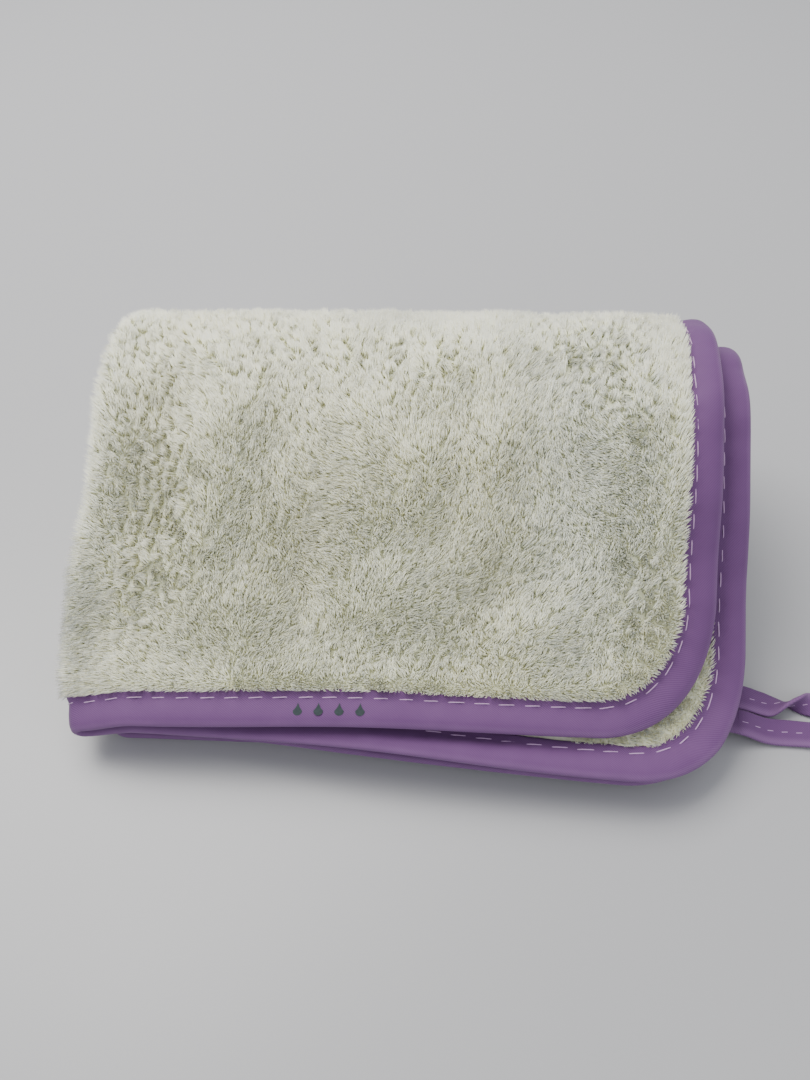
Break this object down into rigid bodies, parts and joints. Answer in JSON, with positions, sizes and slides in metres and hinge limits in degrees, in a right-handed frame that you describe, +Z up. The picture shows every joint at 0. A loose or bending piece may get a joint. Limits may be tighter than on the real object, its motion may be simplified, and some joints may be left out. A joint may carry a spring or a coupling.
{
  "type": "folded quick dry towel",
  "caption": "Small plush fleece towel with rounded corners and a stitched tape binding, folded in quarters, with a hanging loop at one corner.",
  "frame": {"origin": "on the surface the towel lies on, under the middle of the top layer in X and of the folded towel's depth in Y", "axes": "+X to the right, away from the left fold, +Y from the open front edge towards the back fold, +Z up"},
  "size_m": [0.2058, 0.115, 0.0634],
  "materials": {
    "fleece": "short dense plush pile on both faces, matt",
    "binding": "fine twill tape with a soft sheen",
    "thread": "polyester sewing thread, slightly glossy"
  },
  "bodies": {
    "lower_half": {"fleece_lower": "fleece", "binding_lower": "binding", "needle_thread_lower": "thread", "bobbin_thread_lower": "thread", "loop_sewn_end": "binding"},
    "upper_half": {"fleece_upper": "fleece", "binding_upper": "binding", "needle_thread_upper": "thread", "bobbin_thread_upper": "thread"},
    "loop": {"hanging_loop": "binding"}
  },
  "joints": [
    {"name": "back_fold", "type": "hinge", "parent": "lower_half", "child": "upper_half", "pos_m": [0, 0.0538, 0.0317], "axis": [-1, 0, 0], "range_deg": [0, 110]},
    {"name": "loop_swing", "type": "hinge", "parent": "lower_half", "child": "loop", "pos_m": [0.08157, -0.03936, 0.00365], "axis": [-0.2079, -0.9781, 0], "range_deg": [0, 90]}
  ]
}
